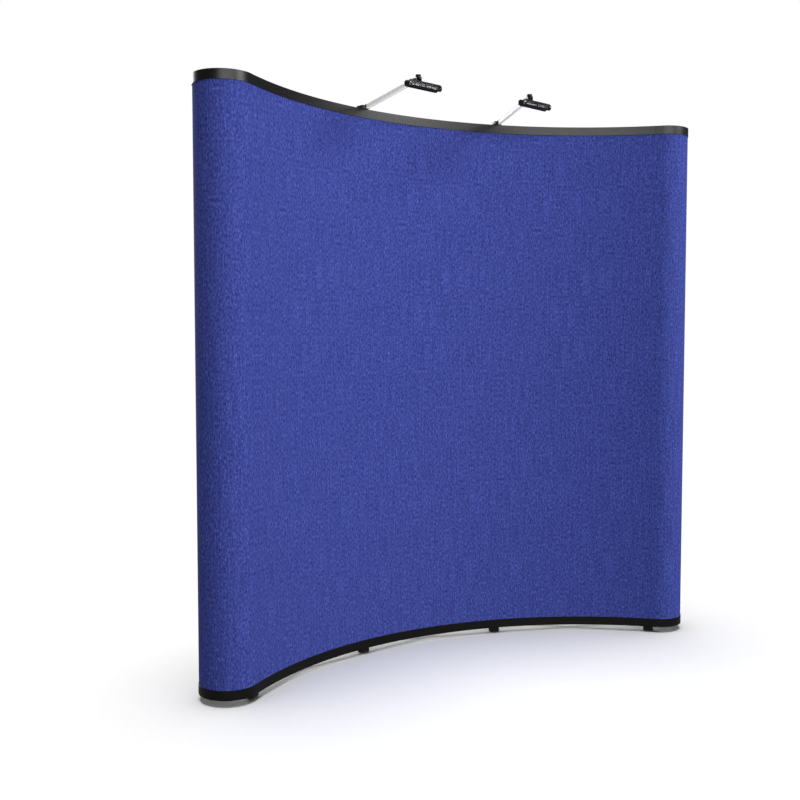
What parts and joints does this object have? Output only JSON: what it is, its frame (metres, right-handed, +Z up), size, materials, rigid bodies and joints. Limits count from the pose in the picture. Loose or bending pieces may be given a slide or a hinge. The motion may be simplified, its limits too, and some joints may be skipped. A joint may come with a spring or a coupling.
{
  "type": "display wall",
  "caption": "Curved free-standing display wall with fabric panels, rounded ends, black top and bottom bands, a lattice frame behind and arm lights on top.",
  "frame": {"origin": "on the floor, below the centre of the wall's bounding box", "axes": "+Z up, the concave front faces -Y, +X to the right of someone who faces the front"},
  "size_m": [2.2406, 0.557, 2.3125],
  "materials": {
    "loop_fabric": "matt brushed loop pile",
    "band_black": "semi-gloss",
    "hub_plastic": "moulded, fine grain",
    "foot_plastic": "moulded",
    "plated_steel": "zinc plated",
    "frame_tube": "drawn, satin",
    "magnet": "nickel plated",
    "bar_metal": "black satin",
    "magnetic_strip": "flexible magnet",
    "arm_silver": "satin anodised",
    "light_black": "satin",
    "front_glass": "clear",
    "lamp_glass": "clear quartz",
    "lamp_ceramic": "unglazed",
    "reflector_metal": "hammered bright"
  },
  "bodies": {
    "frame": {"hub_outer_halves": "hub_plastic", "hub_inner_halves": "hub_plastic", "hub_screws": "plated_steel", "hub_pins": "plated_steel", "row_tubes": "frame_tube", "column_tubes": "frame_tube", "tube_end_fittings": "hub_plastic", "crossing_rivets": "plated_steel", "lock_stalks": "hub_plastic", "frame_magnets": "magnet", "feet": "foot_plastic", "light_sockets": "hub_plastic", "channel_bars": "bar_metal", "bar_fittings": "hub_plastic", "bar_strips": "magnetic_strip", "panel_pegs": "plated_steel"},
    "left_cap": {"left_cap_fabric": "loop_fabric", "left_cap_header": "band_black", "left_cap_footer": "band_black", "left_cap_strips": "magnetic_strip"},
    "left_panel": {"left_panel_fabric": "loop_fabric", "left_panel_header": "band_black", "left_panel_footer": "band_black", "left_panel_strips": "magnetic_strip"},
    "middle_panel": {"middle_panel_fabric": "loop_fabric", "middle_panel_header": "band_black", "middle_panel_footer": "band_black", "middle_panel_strips": "magnetic_strip"},
    "right_panel": {"right_panel_fabric": "loop_fabric", "right_panel_header": "band_black", "right_panel_footer": "band_black", "right_panel_strips": "magnetic_strip"},
    "right_cap": {"right_cap_fabric": "loop_fabric", "right_cap_header": "band_black", "right_cap_footer": "band_black", "right_cap_strips": "magnetic_strip"},
    "left_light_mount": {"left_light_peg": "plated_steel"},
    "left_arm": {"left_clip_block": "light_black", "left_arm_tube": "arm_silver", "left_arm_tip": "light_black"},
    "left_knob": {"left_swivel_knob": "light_black"},
    "left_knuckle": {"left_knuckle": "light_black", "left_tilt_bolt": "plated_steel"},
    "left_head": {"left_head_housing": "light_black", "left_reflector": "reflector_metal", "left_lamp": "lamp_glass", "left_lamp_holders": "lamp_ceramic", "left_front_glass": "front_glass"},
    "right_light_mount": {"right_light_peg": "plated_steel"},
    "right_arm": {"right_clip_block": "light_black", "right_arm_tube": "arm_silver", "right_arm_tip": "light_black"},
    "right_knob": {"right_swivel_knob": "light_black"},
    "right_knuckle": {"right_knuckle": "light_black", "right_tilt_bolt": "plated_steel"},
    "right_head": {"right_head_housing": "light_black", "right_reflector": "reflector_metal", "right_lamp": "lamp_glass", "right_lamp_holders": "lamp_ceramic", "right_front_glass": "front_glass"}
  },
  "joints": [
    {"name": "left_panel_pull_off", "type": "slide", "parent": "frame", "child": "left_panel", "axis": [0, -1, 0], "range_m": [0, 0.15]},
    {"name": "middle_panel_pull_off", "type": "slide", "parent": "frame", "child": "middle_panel", "axis": [0, -1, 0], "range_m": [0, 0.15]},
    {"name": "right_panel_pull_off", "type": "slide", "parent": "frame", "child": "right_panel", "axis": [0, -1, 0], "range_m": [0, 0.15]},
    {"name": "right_cap_pull_off", "type": "slide", "parent": "frame", "child": "right_cap", "axis": [0.7514, -0.6599, 0], "range_m": [0, 0.15]},
    {"name": "left_cap_pull_off", "type": "slide", "parent": "frame", "child": "left_cap", "axis": [-0.7514, -0.6599, 0], "range_m": [0, 0.15]},
    {"name": "left_light_lift_off", "type": "slide", "parent": "frame", "child": "left_light_mount", "axis": [0, 0, 1], "range_m": [0, 0.04]},
    {"name": "left_arm_swing", "type": "hinge", "parent": "left_light_mount", "child": "left_arm", "pos_m": [-0.33879, 0.10229, 2.2265], "axis": [0, 0, 1], "range_deg": [-31.4, 28.6]},
    {"name": "left_knob_turn", "type": "hinge", "parent": "left_arm", "child": "left_knob", "pos_m": [-0.25416, -0.21356, 2.2974], "axis": [0, 0, 1], "range_deg": [0, 270]},
    {"name": "left_head_swivel", "type": "hinge", "parent": "left_arm", "child": "left_knuckle", "pos_m": [-0.25416, -0.21356, 2.2974], "axis": [0, 0, 1], "range_deg": [-58.6, 61.4]},
    {"name": "left_head_tilt", "type": "hinge", "parent": "left_knuckle", "child": "left_head", "pos_m": [-0.25322, -0.21745, 2.2774], "axis": [0.972, 0.2351, 0], "range_deg": [-45, 45]},
    {"name": "right_light_lift_off", "type": "slide", "parent": "frame", "child": "right_light_mount", "axis": [0, 0, 1], "range_m": [0, 0.04]},
    {"name": "right_arm_swing", "type": "hinge", "parent": "right_light_mount", "child": "right_arm", "pos_m": [0.31185, 0.10854, 2.2265], "axis": [0, 0, 1], "range_deg": [-33.3, 26.7]},
    {"name": "right_knob_turn", "type": "hinge", "parent": "right_arm", "child": "right_knob", "pos_m": [0.25956, -0.21425, 2.2794], "axis": [0, 0, 1], "range_deg": [0, 270]},
    {"name": "right_head_swivel", "type": "hinge", "parent": "right_arm", "child": "right_knuckle", "pos_m": [0.25956, -0.21425, 2.2794], "axis": [0, 0, 1], "range_deg": [-83.7, 36.3]},
    {"name": "right_head_tilt", "type": "hinge", "parent": "right_knuckle", "child": "right_head", "pos_m": [0.26057, -0.21813, 2.2594], "axis": [0.9681, 0.2504, 0], "range_deg": [-45, 45]}
  ]
}
